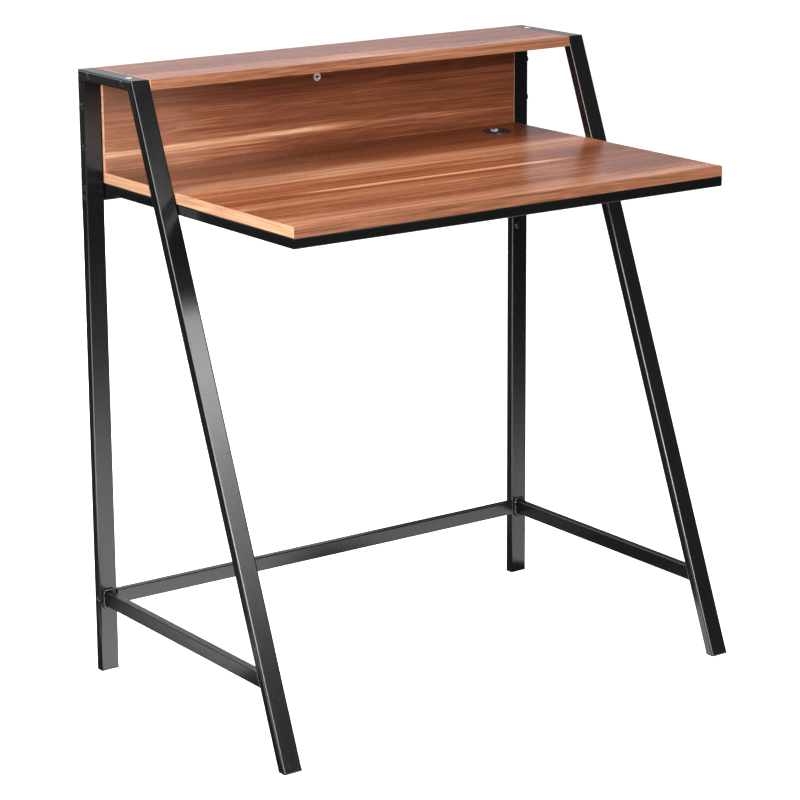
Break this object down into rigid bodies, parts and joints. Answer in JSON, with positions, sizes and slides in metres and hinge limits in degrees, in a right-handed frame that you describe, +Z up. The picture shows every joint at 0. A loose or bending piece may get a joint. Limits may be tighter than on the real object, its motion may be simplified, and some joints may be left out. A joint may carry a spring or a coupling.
{
  "type": "computer desk",
  "caption": "Small A-frame computer desk with black steel tube side frames, a wood-grain worktop, a raised back shelf with a back panel, and a round cable hole.",
  "frame": {"origin": "on the floor, under the middle of the desk's overall box", "axes": "+Z up, -Y towards the sitter, +X to the sitter's right"},
  "size_m": [0.802, 0.5097, 0.9005],
  "materials": {
    "black_powder_coat": "satin black powder coat",
    "bare_steel": "plain zinc-plated",
    "wood_laminate": "reddish-brown wood-grain laminate, satin",
    "brown_edge_band": "matching edge band",
    "pale_edge_band": "matching edge band, paler where the light falls",
    "fastener_steel": "black zinc",
    "black_plastic": "matte black",
    "white_plastic": "plain white",
    "gloss_black_plastic": "gloss black",
    "cam_zinc": "die-cast zinc, nickel plated"
  },
  "bodies": {
    "desk": {"left_rear_leg": "black_powder_coat", "right_rear_leg": "black_powder_coat", "left_top_rail": "black_powder_coat", "right_top_rail": "black_powder_coat", "left_front_leg": "black_powder_coat", "right_front_leg": "black_powder_coat", "left_side_stretcher": "black_powder_coat", "right_side_stretcher": "black_powder_coat", "left_weld_beads": "black_powder_coat", "right_weld_beads": "black_powder_coat", "lower_crossbar": "black_powder_coat", "rear_rail": "black_powder_coat", "front_apron": "black_powder_coat", "left_apron": "black_powder_coat", "right_apron": "black_powder_coat", "crossbar_nut_plates": "bare_steel", "rear_rail_nut_plates": "bare_steel", "front_leg_nuts": "bare_steel", "worktop": "wood_laminate", "shelf": "wood_laminate", "back_panel": "wood_laminate", "worktop_front_band": "brown_edge_band", "worktop_rear_band": "brown_edge_band", "shelf_front_band": "brown_edge_band", "shelf_rear_band": "brown_edge_band", "worktop_end_bands": "pale_edge_band", "shelf_end_bands": "pale_edge_band", "back_panel_end_bands": "pale_edge_band", "shelf_screws": "fastener_steel", "back_panel_screws": "fastener_steel", "rear_rail_bolts": "fastener_steel", "crossbar_bolts": "fastener_steel", "front_leg_bolts": "fastener_steel", "worktop_screws": "fastener_steel", "left_front_foot": "black_plastic", "left_rear_foot": "black_plastic", "right_front_foot": "black_plastic", "right_rear_foot": "black_plastic", "leg_hole_plug": "black_plastic", "cable_grommet": "gloss_black_plastic", "left_rail_plug": "white_plastic", "right_rail_plug": "white_plastic", "cam_dowel": "bare_steel"},
    "cam": {"cam_lock": "cam_zinc"}
  },
  "joints": [
    {"name": "cam_turn", "type": "hinge", "parent": "desk", "child": "cam", "pos_m": [-0.0035, 0.2365, 0.8556], "axis": [0, -1, 0], "range_deg": [0, 180]}
  ]
}
